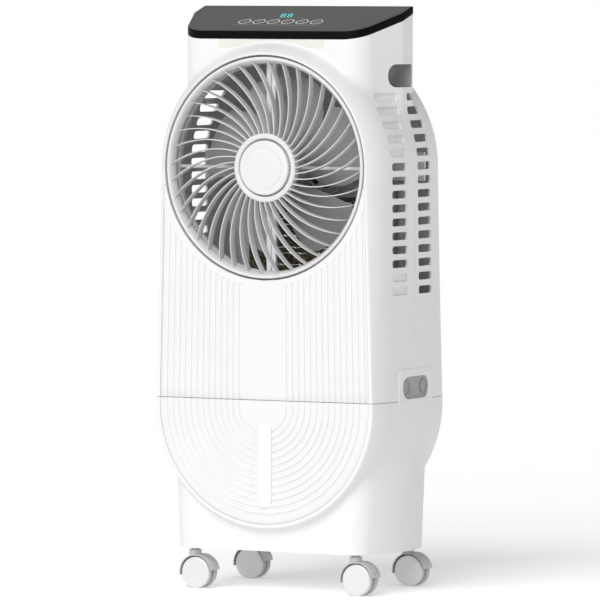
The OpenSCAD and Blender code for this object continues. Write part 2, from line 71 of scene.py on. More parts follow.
# Casing: a pod of two arcs, a neck over it and a base column under it
CREASE_R = 164
TAPER_TOP = 20
TAPER_LOW = 10.5
LOW_Z = 236
SEAM_Z = 244
GAP = 0.3
WALL = 3
RIM = 1.4
NECK_W = 149.5
NECK_BACK = 22.5
NECK_SIDE = -6
NECK_CORNER = (98, -42.5, 36)
NECK_FOOT_Z = 400
TILT = 0.313
PLATE_T = 10
BASE_FOOT = (154, -86, 92, 32)
BASE_HEAD = (162.5, -88, 94, 34)
BASE_ARC = 150
BLEND_NECK = 6
BLEND_FRONT = 4
BLEND_SIDE = 3
OUTER_STEP = 2.5
INNER_STEP = 4.5
ON_PLANE = 0.01

# Vents
SLOTS = 15
SLOT_PITCH = 17.4
SLOT_H = 10
SLOT_R = 3.8
SLOT_TOP_Z = 626
SLOT_REAR = (4.5, 39, 0.45)
SLOT_FRONT = (-58.5, 35, 0.5)
SLOT_FRONT_TOP = ((-56, -15.5), (-64, -15), (-63, -21.5), (-62, -23), (-60.5, -23))
OPEN_SLOTS = range(5, 13)
BLIND_DEPTH = 2.3

# Front panels
PANEL_TOP_W = 142.5
PANEL_LOW_W = 148.6
PANEL_TOP_Z = 514
PANEL_T = 3
MOUTH_R = 142
BAND = 8.5
GROOVE_FIRST = 34
GROOVE_PITCH = 8.6
GROOVE_W = 3.4
GROOVE_D = 1.3
GAUGE_W = 23
GAUGE_Z = (108, 219)

# Side features
GRIP_Y = (-30, 19)
GRIP_Z = (638, 667)
TAB_Y = (-45, 49)
TAB_MARGIN = 11
TAB_RECESS_R = 14
TAB_Z = (236, 284)
TAB_MID_Z = sum(TAB_Z) / 2
TAB_WELLS = (-21, 26)
TAB_WELL_R = 9.6

# Louvre grille
HUB_R = 43.5
CAP_R = 34.3
RING_R = 139.6
VANES = 40
VANE_SWEEP = math.radians(26)
GRILLE_FRONT = FRONT + 1
GRILLE_BACK = FRONT + 13

# Casters: gap from wheel to hood rim, and how far each wheel trails its stem
CASTERS = ("front_left", "front_right", "back_left", "back_right")
HOOD_GAP = 3
STEM_TRAIL = 6

# Studio: angles in degrees, camera distance in metres
FLOOR_HALF = 2e5
KEY_DIRECTION = (0, -0.83, 0.55)
KEY_STRENGTH = 2.2
KEY_SPREAD = 50
CAMERA_AZIMUTH = 27.7
CAMERA_ELEVATION = 3
CAMERA_DISTANCE = 8.27
CAMERA_TARGET_Z = 366
CAMERA_LENS = 390


# ---------- materials ----------


def plastic(name, colour, rough=0.35, shade=0.04, bump=0.04, grain=900, **settings):
    """Moulded plastic: faint cloudiness in colour and gloss, and a fine moulded grain."""
    material = bpy.data.materials.new(name)
    material.use_nodes = True
    nodes, links = material.node_tree.nodes, material.node_tree.links
    shader = nodes["Principled BSDF"]
    place = nodes.new("ShaderNodeTexCoord")
    cloud = nodes.new("ShaderNodeTexNoise")
    cloud.inputs["Scale"].default_value = 14
    cloud.inputs["Detail"].default_value = 4
    links.new(place.outputs["Object"], cloud.inputs["Vector"])
    tint = nodes.new("ShaderNodeValToRGB")
    tint.color_ramp.elements[0].position = 0.3
    tint.color_ramp.elements[0].color = (*[c * (1 - shade) for c in colour], 1)
    tint.color_ramp.elements[1].position = 0.7
    tint.color_ramp.elements[1].color = (*colour, 1)
    links.new(cloud.outputs["Fac"], tint.inputs["Fac"])
    links.new(tint.outputs["Color"], shader.inputs["Base Color"])
    gloss = nodes.new("ShaderNodeMapRange")
    gloss.inputs["To Min"].default_value = rough - 0.05
    gloss.inputs["To Max"].default_value = rough + 0.07
    links.new(cloud.outputs["Fac"], gloss.inputs["Value"])
    links.new(gloss.outputs["Result"], shader.inputs["Roughness"])
    fine = nodes.new("ShaderNodeTexNoise")
    fine.inputs["Scale"].default_value = grain
    fine.inputs["Detail"].default_value = 2
    links.new(place.outputs["Object"], fine.inputs["Vector"])
    relief = nodes.new("ShaderNodeBump")
    relief.inputs["Strength"].default_value = bump
    relief.inputs["Distance"].default_value = 0.0003
    links.new(fine.outputs["Fac"], relief.inputs["Height"])
    links.new(relief.outputs["Normal"], shader.inputs["Normal"])
    for socket, value in settings.items():
        shader.inputs[socket.replace("_", " ")].default_value = value
    return material


def striped(name, colour, other, axis, pitch, share=0.5, **settings):
    """Moulded plastic crossed by even bands along one axis, such as mesh cloth or a finned surface."""
    material = plastic(name, colour, **settings)
    nodes, links = material.node_tree.nodes, material.node_tree.links
    shader = nodes["Principled BSDF"]
    place = nodes.new("ShaderNodeTexCoord")
    split = nodes.new("ShaderNodeSeparateXYZ")
    links.new(place.outputs["Object"], split.inputs["Vector"])
    mask = None
    for letter in axis:
        turns = nodes.new("ShaderNodeMath")
        turns.operation = "MULTIPLY"
        turns.inputs[1].default_value = 1 / (pitch * MM)
        links.new(split.outputs[letter], turns.inputs[0])
        part = nodes.new("ShaderNodeMath")
        part.operation = "FRACT"
        links.new(turns.outputs[0], part.inputs[0])
        band = nodes.new("ShaderNodeMath")
        band.operation = "LESS_THAN"
        band.inputs[1].default_value = share
        links.new(part.outputs[0], band.inputs[0])
        if mask:
            both = nodes.new("ShaderNodeMath")
            both.operation = "MAXIMUM"
            links.new(mask, both.inputs[0])
            links.new(band.outputs[0], both.inputs[1])
            mask = both.outputs[0]
        else:
            mask = band.outputs[0]
    paint = nodes.new("ShaderNodeMix")
    paint.data_type = "RGBA"
    links.new(mask, paint.inputs["Factor"])
    paint.inputs["A"].default_value = (*other, 1)
    source = shader.inputs["Base Color"].links[0].from_socket
    links.new(source, paint.inputs["B"])
    links.new(paint.outputs["Result"], shader.inputs["Base Color"])
    return material


WHITE = plastic("white_plastic", (0.73, 0.728, 0.728), rough=0.38, shade=0.02, bump=0.03)
PANEL_WHITE = plastic("panel_plastic", (0.715, 0.715, 0.725), rough=0.3, shade=0.02, bump=0.02)
INNER = plastic("inner_grey", (0.72, 0.72, 0.725), rough=0.6, bump=0.06)
GRILLE_WHITE = plastic("grille_plastic", (0.66, 0.66, 0.665), rough=0.3, shade=0.03)
CAP_WHITE = plastic("cap_plastic", (0.68, 0.68, 0.685), rough=0.22, shade=0.02, Coat_Weight=0.3)
# Fan grey: partly the blades' own grey plastic, partly painted shade, darkened to stand for the shade inside
# the casing.
FAN_SHADED_GREY = plastic("fan_plastic_painted_shade", (0.34, 0.34, 0.345), rough=0.42)
FRAME_GREY = plastic("frame_plastic", (0.7, 0.7, 0.705), rough=0.45)
MOTOR_CASE = plastic("motor_housing", (0.5, 0.5, 0.505), rough=0.45)
MOTOR_GREY = plastic("motor_case", (0.2, 0.2, 0.205), rough=0.45)
DARK = plastic("dark_plastic", (0.02, 0.02, 0.021), rough=0.4)
PLATE_EDGE = plastic("plate_edge", (0.003, 0.003, 0.003), rough=0.4, bump=0.01, Specular_IOR_Level=0.05)
PLATE_FACE = plastic("plate_face", (0.052, 0.051, 0.049), rough=0.3, bump=0.02)
PRINT = plastic("plate_print", (0.75, 0.76, 0.76), rough=0.35)
CYAN = plastic("display_cyan", (0.1, 0.75, 0.8), rough=0.3,
               Emission_Color=(0.08, 0.75, 0.8, 1), Emission_Strength=0.6)
BLUE = plastic("pilot_blue", (0.1, 0.35, 0.8), rough=0.3,
               Emission_Color=(0.1, 0.4, 0.9, 1), Emission_Strength=0.5)
DIFFUSER = plastic("light_diffuser", (0.62, 0.63, 0.57), rough=0.25, Emission_Color=(0.9, 0.93, 0.83, 1),
                   Emission_Strength=0.08)
GAUGE = plastic("gauge_window", (0.86, 0.86, 0.86), rough=0.15, Coat_Weight=0.4)
GRIP_GREY = plastic("grip_grey", (0.33, 0.33, 0.335), rough=0.5, bump=0.08)
HOOD_GREY = plastic("hood_plastic", (0.5, 0.5, 0.505), rough=0.3)
WHEEL_WHITE = plastic("wheel_plastic", (0.64, 0.64, 0.65), rough=0.14, bump=0.01, Coat_Weight=0.5)
TREAD = plastic("wheel_tread", (0.45, 0.45, 0.455), rough=0.5)
STEEL = plastic("steel", (0.6, 0.6, 0.61), rough=0.28, Metallic=1.0)
BRONZE_PAD = plastic("honeycomb_paper", (0.5, 0.42, 0.3), rough=0.85, shade=0.45, bump=0.4, grain=500)
BOARD_GREEN = striped("circuit_board", (0.02, 0.12, 0.05), (0.05, 0.22, 0.08), "XY", 3, 0.8)
FILTER_MESH = striped("filter_mesh", (0.06, 0.06, 0.065), (0.2, 0.2, 0.2), "XZ", 2, 0.35, rough=0.7)
PUMP_BLACK = plastic("pump_plastic", (0.02, 0.02, 0.022), rough=0.45)
RUBBER = plastic("plug_rubber", (0.12, 0.12, 0.12), rough=0.7, bump=0.1)
HOSE = plastic("hose_vinyl", (0.6, 0.62, 0.62), rough=0.3, Transmission_Weight=0.4)


# ---------- mesh helpers ----------


def loft(rings, first=False, last=False):
    """Points and faces between closed rings of equally many points. first and last close the ends."""
    rings = [np.asarray(ring, float) for ring in rings]
    n = len(rings[0])
    faces = []
    for k in range(len(rings) - 1):
        for i in range(n):
            j = (i + 1) % n
            faces.append((k * n + i, k * n + j, (k + 1) * n + j, (k + 1) * n + i))
    if first:
        faces.append(tuple(range(n - 1, -1, -1)))
    if last:
        faces.append(tuple((len(rings) - 1) * n + i for i in range(n)))
    return np.concatenate(rings), faces


def sheet_of(grid):
    """Points and faces of a rectangular grid of points."""
    grid = np.asarray(grid, float)
    rows, columns = grid.shape[:2]
    faces = []
    for i in range(rows - 1):
        for j in range(columns - 1):
            a = i * columns + j
            faces.append((a, a + 1, a + columns + 1, a + columns))
    return grid.reshape(-1, 3), faces


def prism(outline, axis, low, high):
    """An outline in the two other axes, in the order x y z, drawn out along one axis."""
    rings = [np.insert(np.asarray(outline, float), axis, level, axis=1) for level in (low, high)]
    return loft(rings, first=True, last=True)


def lathe(profile, centre=(0, None), segments=128):
    """A closed profile of (radius, y) points turned about a line along Y through centre (x, z)."""
    x, z = centre[0], FAN_Z if centre[1] is None else centre[1]
    angle = np.arange(segments) * 2 * math.pi / segments
    closed = [*profile, profile[0]]
    rings = [np.stack([x + r * np.cos(angle), np.full(segments, y), z + r * np.sin(angle)], 1)
             for r, y in closed]
    return loft(rings)


def rounded(a, b, radii, inset=0, steps=6):
    """A rectangle from a to b with its own radius at each corner, counter-clockwise from the lowest one."""
    (a0, b0), (a1, b1) = a, b
    spots = [(a0, b0, 1, 1, 180), (a1, b0, -1, 1, 270), (a1, b1, -1, -1, 0), (a0, b1, 1, -1, 90)]
    points = []
    for (x, y, sx, sy, turn), radius in zip(spots, radii):
        r = max(radius - inset, 0.05)
        for t in np.radians(turn + np.linspace(0, 90, steps + 1)):
            points.append((x + sx * (inset + r) + r * math.cos(t), y + sy * (inset + r) + r * math.sin(t)))
    return points


def circle(centre, radius, count=32):
    angle = np.arange(count) * 2 * math.pi / count
    return [(centre[0] + radius * math.cos(t), centre[1] + radius * math.sin(t)) for t in angle]


class Shape:
    """Collects points, faces and a paint number for each face, and turns them into an object."""

    def __init__(self):
        self.mesh = bmesh.new()

    def add(self, made, paint=0):
        points, faces = made
        verts = [self.mesh.verts.new(p) for p in points]
        for face in faces:
            self.mesh.faces.new([verts[i] for i in face]).material_index = paint
        return self

    def outward(self):
        bmesh.ops.remove_doubles(self.mesh, verts=self.mesh.verts, dist=1e-3)
        bmesh.ops.recalc_face_normals(self.mesh, faces=self.mesh.faces)
        return self


def finish(mesh, name, body, paints, replaces=(), sharp=32):
    """Turns a bmesh in millimetres into a piece that rides on a body."""
    bmesh.ops.scale(mesh, vec=(MM,) * 3, verts=mesh.verts)
    for face in mesh.faces:
        face.smooth = True
    data = bpy.data.meshes.new(name)
    mesh.to_mesh(data)
    mesh.free()
    data.set_sharp_from_angle(angle=math.radians(sharp))
    for paint in paints:
        data.materials.append(paint)
    piece = bpy.data.objects.new(name, data)
    bpy.context.scene.collection.objects.link(piece)
    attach(piece, body)
    if replaces:
        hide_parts(*replaces)
    return piece


# ---------- the casing's surface ----------


def outline_distance(outline, x, y):
    """Signed distance to a closed outline, less than zero inside."""
    x, y = np.broadcast_arrays(x, y)
    near = np.full(x.shape, np.inf)
    inside = np.zeros(x.shape, bool)
    for (ax, ay), (bx, by) in zip(outline, [*outline[1:], outline[0]]):
        ex, ey = bx - ax, by - ay
        t = np.clip(((x - ax) * ex + (y - ay) * ey) / (ex * ex + ey * ey), 0, 1)
        near = np.minimum(near, np.hypot(x - ax - t * ex, y - ay - t * ey))
        if ey:
            inside ^= ((ay > y) != (by > y)) & (x < ax + (y - ay) * ex / ey)
    return np.where(inside, -near, near)


def blend_min(a, b, width):
    """Union of two distances with a soft fillet of a given width."""
    h = np.clip((width - np.abs(a - b)) / width, 0, 1)
    return np.minimum(a, b) - h * h * width / 4


def ease(t):
    t = np.clip(t, 0, 1)
    return t * t * (3 - 2 * t)


def taper(y):
    t = np.abs(y) / HALF_D
    return 0.15 * t + 0.85 * t ** 5


def pod_field(x, y, z):
    """Two arcs, one over the other, and their tangent sides, narrowing away from the crease at y = 0."""
    top = CREASE_R - TAPER_TOP * taper(y)
    low = CREASE_R - TAPER_LOW * taper(y)
    px, pz, h = np.abs(x), z - LOW_Z, FAN_Z - LOW_Z
    b = (low - top) / h
    a = np.sqrt(1 - b * b)
    along = pz * a - px * b
    side = px * a + pz * b - low
    above = np.where(along > a * h, np.hypot(px, pz - h) - top, side)
    return np.where(along < 0, np.hypot(px, pz) - low, above)


def neck_outline(inset=0):
    """Plan of the neck: a flat front, round corners, slanting flanks and a flat back."""
    cx, cy, r = NECK_CORNER
    dx, dy = NECK_W - cx, NECK_SIDE - cy
    last = math.atan2(dy, dx) - math.acos(r / math.hypot(dx, dy))
    turns = np.linspace(-math.pi / 2, last, 16)
    arc = [(cx + (r - inset) * math.cos(t), cy + (r - inset) * math.sin(t)) for t in turns]
    half = [*arc, (NECK_W - inset, NECK_SIDE), (NECK_W - inset, NECK_BACK - inset)]
    return half + [(-x, y) for x, y in reversed(half)]


NECK = neck_outline()


def column_field(x, y, z):
    """The base column: bulging sides, flat front and back, round corners, wider towards its head."""
    s = np.clip((z - BASE_Z) / (LOW_Z - BASE_Z), -0.1, 1.1)
    w, front, back, r = (a + (b - a) * s for a, b in zip(BASE_FOOT, BASE_HEAD))
    half = (back - front) / 2
    px, py = np.abs(x) - w + BASE_ARC, np.abs(y - (front + back) / 2)
    cy = half - r
    cx = np.sqrt((BASE_ARC - r) ** 2 - cy ** 2)
    flats = np.maximum(np.hypot(px, py) - BASE_ARC, py - half)
    at_corner = (px > cx) & (py * cx > px * cy)
    return np.where(at_corner, np.hypot(px - cx, py - cy) - r, flats)


def casing_field(x, y, z):
    """Signed distance to the casing before its front, back, top and bottom are cut flat."""
    neck = np.maximum(outline_distance(NECK, x, y), NECK_FOOT_Z - z)
    body = blend_min(pod_field(x, y, z), neck, BLEND_NECK)
    width = BLEND_FRONT + (BLEND_SIDE - BLEND_FRONT) * ease((75 - np.abs(y)) / 30) * ease((LOW_Z - z) / 60)
    column = np.maximum(column_field(x, y, z), z - LOW_Z - 20)
    return blend_min(body, column, width)


def surface_net(field, reach, step):
    """Points and quads on a field's zero surface, one point in each grid cell that it crosses."""
    axes = []
    for low, high in reach:
        start = step * math.floor(low / step)
        axes.append(start + step * np.arange(math.ceil((high - start) / step) + 1))
    inside = field(*np.meshgrid(*axes, indexing="ij", sparse=True)) < 0
    count = np.zeros([n - 1 for n in inside.shape], np.int8)
    for corner in range(8):
        pick = tuple(slice(1, None) if corner >> a & 1 else slice(None, -1) for a in range(3))
        count += inside[pick]
    crossed = (count > 0) & (count < 8)
    index = np.full(crossed.shape, -1)
    index[crossed] = np.arange(crossed.sum())
    cell = np.argwhere(crossed)
    points = np.stack([axes[a][cell[:, a]] + step / 2 for a in range(3)], 1)
    quads = []
    for a in range(3):
        order = (a, (a + 1) % 3, (a + 2) % 3)
        here, ids = inside.transpose(order), index.transpose(order)
        i, j, k = np.nonzero(here[:-1, 1:-1, 1:-1] != here[1:, 1:-1, 1:-1])
        quad = np.stack([ids[i, j + 1, k + 1], ids[i, j, k + 1], ids[i, j, k], ids[i, j + 1, k]], 1)
        back = ~here[i, j + 1, k + 1]
        quad[back] = quad[back][:, ::-1]
        quads.append(quad)
    return points, np.concatenate(quads)


def settle(points, field, rounds=4, reach=0.05):
    """Moves points along the field's slope until they lie on its zero surface."""
    for _ in range(rounds):
        slope = [(field(*(points + d).T) - field(*(points - d).T)) / (2 * reach) for d in np.eye(3) * reach]
        slope = np.stack(slope, 1)
        points = points - (field(*points.T) / np.maximum((slope ** 2).sum(1), 0.25))[:, None] * slope
    return points


def bisect(mesh, point, normal, clear):
    geometry = mesh.verts[:] + mesh.edges[:] + mesh.faces[:]
    bmesh.ops.bisect_plane(mesh, geom=geometry, dist=1e-4, plane_co=point, plane_no=normal, clear_outer=clear)


def cap(mesh, point, normal):
    """Closes the openings that lie in a plane."""
    point, normal = Vector(point), Vector(normal).normalized()
    edges = [e for e in mesh.edges
             if e.is_boundary and all(abs((v.co - point).dot(normal)) < ON_PLANE for v in e.verts)]
    bmesh.ops.triangle_fill(mesh, edges=edges, use_beauty=True, normal=normal)


def cut(mesh, point, normal):
    bisect(mesh, point, normal, True)
    cap(mesh, point, normal)


def round_rim(mesh, y, radius):
    """Cuts the casing flat at y and rounds the edge of the cut."""
    way = math.copysign(1, y)
    bisect(mesh, (0, y, 0), (0, way, 0), True)
    for turn in (0, 30, 60):
        bisect(mesh, (0, y - way * radius * (1 - math.sin(math.radians(turn))), 0), (0, way, 0), False)
    start = abs(y) - radius
    for v in mesh.verts:
        past = v.co.y * way - start
        if past > 1e-3:
            x, _, z = v.co
            slope = Vector((pod_field(x + 0.1, y, z) - pod_field(x - 0.1, y, z), 0,
                            pod_field(x, y, z + 0.1) - pod_field(x, y, z - 0.1))).normalized()
            v.co -= slope * (radius - math.sqrt(max(radius ** 2 - past ** 2, 0)))
    cap(mesh, (0, y, 0), (0, way, 0))


def casing_skin(step, inset, floor_z, ends, rim):
    """A closed skin of the whole casing, set in by inset and cut flat below, above, before and behind."""
    def field(x, y, z):
        return casing_field(x, y, z) + inset

    points, quads = surface_net(field, ((-170, 170), (-104, 104), (46, 746)), step)
    mesh = bmesh.new()
    verts = [mesh.verts.new(p) for p in settle(points, field)]
    for quad in quads:
        mesh.faces.new([verts[i] for i in quad])
    cut(mesh, (0, 0, floor_z), (0, 0, -1))
    cut(mesh, (0, NECK_BACK, TOP_Z - PLATE_T - inset), (0, -TILT, 1))
    for y in ends:
        if rim:
            round_rim(mesh, y, rim)
        else:
            cut(mesh, (0, y, 0), (0, math.copysign(1, y), 0))
    return mesh


def hollow_casing():
    """The casing with its inner skin, whose faces take the second paint."""
    outer = casing_skin(OUTER_STEP, 0, BASE_Z, (FRONT, -FRONT), RIM)
    inner = casing_skin(INNER_STEP, WALL, BASE_Z + WALL, (FRONT + WALL + 1.2, -FRONT - WALL), 0)
    for face in inner.faces:
        face.normal_flip()
        face.material_index = 1
    data = bpy.data.meshes.new("inner_skin")
    inner.to_mesh(data)
    inner.free()
    outer.from_mesh(data)
    bpy.data.meshes.remove(data)
    return outer


def carved(mesh, *cutters):
    """The mesh less each cutter in turn."""
    for cutter in cutters:
        cutter.outward()
        pair = []
        for source in (mesh, cutter.mesh):
            data = bpy.data.meshes.new("carving")
            source.to_mesh(data)
            source.free()
            obj = bpy.data.objects.new("carving", data)
            bpy.context.scene.collection.objects.link(obj)
            pair.append(obj)
        for _ in range(2):
            pair[0].data.materials.append(None)
        tool = pair[0].modifiers.new("cut", "BOOLEAN")
        tool.operation, tool.solver, tool.object = "DIFFERENCE", "EXACT", pair[1]
        result = pair[0].evaluated_get(bpy.context.evaluated_depsgraph_get()).to_mesh()
        mesh = bmesh.new()
        mesh.from_mesh(result)
        pair[0].to_mesh_clear()
        for obj in pair:
            data = obj.data
            bpy.data.objects.remove(obj)
            bpy.data.meshes.remove(data)
    return mesh


def side_x(y, z, height=0):
    """How far out the casing's side lies at y and z, raised by a height."""
    x = np.full(np.shape(y), 178.0)
    for _ in range(40):
        x = x - 0.8 * (casing_field(x, y, z) - height)
    return x


def side_rings(outline, profile, side):
    """Rings on the casing's side: an outline in y and z for each (inset, height) of a profile."""
    rings = []
    for inset, height in profile:
        y, z = np.array(outline(inset)).T
        rings.append(np.stack([side * side_x(y, z, height), y, z], 1))
    return rings


# ---------- shells ----------


def slot_span(number, front):
    """Ends of one vent along y. The rear column drifts back row by row, the front one grows longer."""
    if front and number < len(SLOT_FRONT_TOP):
        return SLOT_FRONT_TOP[number]
    if front:
        start, length, growth = SLOT_FRONT
        return start, start + length + growth * (number - len(SLOT_FRONT_TOP))
    start, length, shift = SLOT_REAR
    return start + shift * number, start + shift * number + length


def slot_outline(number, front, inset=0):
    """Outline of one vent in y and z."""
    y0, y1 = slot_span(number, front)
    z = SLOT_TOP_Z - number * SLOT_PITCH
    return rounded((y0, z - SLOT_H / 2), (y1, z + SLOT_H / 2), [SLOT_R] * 4, inset)


def grip_outline(inset=0):
    return rounded((GRIP_Y[0], GRIP_Z[0]), (GRIP_Y[1], GRIP_Z[1]), [13, 4, 4, 13], inset, steps=8)


def tab_recess(inset=0):
    r = TAB_RECESS_R
    low, high = (TAB_Y[0] + TAB_MARGIN, TAB_MID_Z - r), (TAB_Y[1] - TAB_MARGIN, TAB_MID_Z + r)
    return rounded(low, high, [r] * 4, inset, steps=8)


def side_cutters():
    """The openings that run through the casing's sides."""
    made = Shape()
    for side in (-1, 1):
        for outline in (grip_outline(), tab_recess(-0.5)):
            made.add(prism(outline, 0, side * 110, side * 200))
        for number in range(SLOTS):
            made.add(prism(slot_outline(number, False), 0, side * 100, side * 200))
            made.add(prism(slot_outline(number, True), 0, side * 100, side * 200))
    return made


def make_shells():
    casing = hollow_casing()
    base = casing.copy()
    cut(base, (0, 0, SEAM_Z - GAP), (0, 0, 1))
    cut(casing, (0, 0, SEAM_Z + GAP), (0, 0, -1))
    rear = casing.copy()
    cut(rear, (0, GAP / 2, 0), (0, -1, 0))
    cut(casing, (0, -GAP / 2, 0), (0, 1, 0))

    mouth = Shape().add(lathe([(AXIS_R, FRONT - 5), (MOUTH_R + 1, FRONT - 5), (MOUTH_R + 1, FRONT),
                               (MOUTH_R, FRONT + 1.2), (MOUTH_R, FRONT + 25), (AXIS_R, FRONT + 25)]))
    panel = Shape().add(prism(panel_outline(GAP), 1, FRONT - 5, FRONT + PANEL_T + GAP))
    front = carved(casing, mouth, panel, side_cutters())
    finish(front, "front_shell_skin", "casing", [WHITE, INNER], ["front_shell"], sharp=28)

    window = Shape().add(prism(rounded((-106.3, 261.7), (106.3, 560.3), [4] * 4), 1, -FRONT - 12, -FRONT + 5))
    gland = Shape().add(lathe([(AXIS_R, -FRONT - 12), (9.3, -FRONT - 12), (9.3, -FRONT + 5),
                               (AXIS_R, -FRONT + 5)], (126, 300), 48))
    rear = carved(rear, window, gland, side_cutters())
    finish(rear, "rear_shell_skin", "casing", [WHITE, INNER], ["rear_shell"], sharp=28)

    tank = Shape().add(prism(circle((0, LOW_Z), PANEL_LOW_W + GAP, 160), 1, FRONT - 5, FRONT + PANEL_T + GAP))
    door = Shape().add(prism(rounded((-70.8, 190.5), (-19.2, 232.8), [2] * 4), 1, -FRONT - 5, -FRONT + 5))
    drain = Shape().add(lathe([(AXIS_R, 60), (6.1, 60), (6.1, 110), (AXIS_R, 110)], (40, 74), 40))
    base = carved(base, tank, door, drain, side_cutters())
    finish(base, "base_shell_skin", "casing", [WHITE, INNER], ["base_shell"], sharp=28)


def make_slot_floors():
    """The shallow blind vents: floors just inside the openings."""
    floors = Shape()
    for side in (-1, 1):
        for number in range(SLOTS):
            if number not in OPEN_SLOTS:
                profile = [(-1.2, -BLIND_DEPTH), (1.5, -BLIND_DEPTH)]
                rings = side_rings(lambda inset: slot_outline(number, True, inset), profile, side)
                floors.add(loft(rings, last=True))
    finish(floors.mesh, "blind_vents", "casing", [WHITE])


# ---------- front panels ----------


def panel_half_width(z):
    return PANEL_LOW_W + (PANEL_TOP_W - PANEL_LOW_W) * (z - SEAM_Z) / (PANEL_TOP_Z - SEAM_Z)


def panel_outline(grow):
    z0, z1 = SEAM_Z - 5, PANEL_TOP_Z + grow
    w0, w1 = panel_half_width(z0) + grow, panel_half_width(z1) + grow
    return [(-w0, z0), (w0, z0), (w1, z1), (-w1, z1)]


def groove_stations(count, edge):
    """Distances from the middle line at which a grooved sheet bends, each with its depth."""
    stations = [(0, 0), (GROOVE_FIRST - 12, 0)]
    for i in range(count):
        middle_of = GROOVE_FIRST + i * GROOVE_PITCH
        for t in np.cos(np.radians(np.linspace(180, 0, 9))):
            stations.append((middle_of + t * GROOVE_W / 2, GROOVE_D * math.sqrt(max(1 - t * t, 0))))
    return [*stations, (edge - 0.5, 0), (edge, -0.5), (edge, -PANEL_T)]


def make_front_panel():
    """The ribbed panel under the mouth: upright grooves that end along an arc round the mouth."""
    half = groove_stations(14, PANEL_LOW_W)
    stations = [(-s, d) for s, d in reversed(half[1:])] + half
    rows = []
    z0 = SEAM_Z + GAP
    s, depth = np.array(stations).T
    edge = np.maximum(-depth, 0)
    depth = np.maximum(depth, 0)

    def reach(radius):
        z = np.full(len(s), 400.0)
        for _ in range(12):
            x = s * panel_half_width(z) / PANEL_LOW_W
            z = np.minimum(FAN_Z - np.sqrt(np.maximum(radius ** 2 - x ** 2, 0)), PANEL_TOP_Z - GAP)
        return z

    ends, tops = reach(MOUTH_R + BAND), reach(MOUTH_R)
    ends = np.minimum(ends, tops - 1)
    for drop in (PANEL_T, 0.5):
        rows.append((np.full(len(s), z0), np.full(len(s), float(drop)), 1))
    for share in np.linspace(0, 1, 14):
        rows.append((z0 + 0.5 + share * (ends - 3.6 - z0), np.zeros(len(s)), 1))
    for left in (2.4, 1.5, 0.7, 0.2, 0):
        share = math.sqrt(max(1 - (1 - left / 3.1) ** 2, 0)) if left else 0
        rows.append((ends - left, np.zeros(len(s)), share))
    rows.append(((ends + tops) / 2, np.zeros(len(s)), 0))
    for left, drop in ((0.8, 0), (0.25, 0.2), (0, 0.8), (0, PANEL_T)):
        rows.append((tops - left, np.full(len(s), float(drop)), 0))
    grid = []
    for z, drop, share in rows:
        x = s * panel_half_width(z) / PANEL_LOW_W
        grid.append(np.stack([x, FRONT + np.maximum(drop + depth * share, edge), z], 1))
    panel = Shape().add(sheet_of(grid))
    finish(panel.mesh, "front_panel_skin", "casing", [PANEL_WHITE], ["front_panel"], sharp=50)


def make_tank_panel():
    """The lower panel: the same grooves, running down and round in half circles."""
    stations = groove_stations(13, PANEL_LOW_W)
    turns = np.radians(np.linspace(-90, 90, 97))
    grid = []
    for s, depth in stations:
        r = max(s, 0.02)
        y = FRONT + max(depth, -depth)
        side = [(0, PANEL_T), (0, 0.4), (0.4, 0)]
        left = [(-r, y + drop, SEAM_Z - GAP - down) for down, drop in side]
        arc = [(r * math.sin(t), y, LOW_Z - r * math.cos(t)) for t in turns]
        right = [(-x, yy, z) for x, yy, z in reversed(left)]
        grid.append(left + arc + right)
    panel = Shape().add(sheet_of(np.array(grid)))
    finish(panel.mesh, "tank_panel_skin", "casing", [PANEL_WHITE], ["tank_front_panel"],
           sharp=50)


def make_gauge():
    """The water level window: a bright pane, just proud of the panel, in a raised rim."""
    r = GAUGE_W / 2

    def ring(inset, y):
        outline = rounded((-r, GAUGE_Z[0]), (r, GAUGE_Z[1]), [r] * 4, inset, steps=10)
        return np.insert(np.array(outline), 1, FRONT + y, axis=1)

    bezel = [(0, 2), (0, -0.5), (0.15, -0.75), (0.5, -0.9), (2.6, -0.9), (3, -0.75), (3.2, 0), (3.2, 2)]
    frame_piece = Shape().add(loft([ring(*p) for p in bezel])).outward()
    finish(frame_piece.mesh, "gauge_bezel", "casing", [WHITE])
    glass = [(3.25, 0.3), (3.3, -0.2), (4.2, -0.4), (6, -0.45)]
    window = Shape().add(loft([ring(*p) for p in glass], last=True)).outward()
    finish(window.mesh, "gauge_glass", "casing", [GAUGE], ["gauge_window"])


# ---------- side features ----------


def make_grips():
    """Hand grips: a rounded cup behind each opening in the neck's flanks."""
    cups = Shape()
    for side in (-1, 1):
        rings = side_rings(grip_outline, [(0.15, -0.5), (0.2, -4)], side)
        for inset, x in ((0.5, 134), (1.5, 127), (4, 122.5), (8, 120.5)):
            y, z = np.array(grip_outline(inset)).T
            rings.append(np.stack([np.full(len(y), side * float(x)), y, z], 1))
        cups.add(loft(rings, last=True))
    finish(cups.mesh, "grip_cups", "casing", [GRIP_GREY], ["hand_grips"], sharp=60)


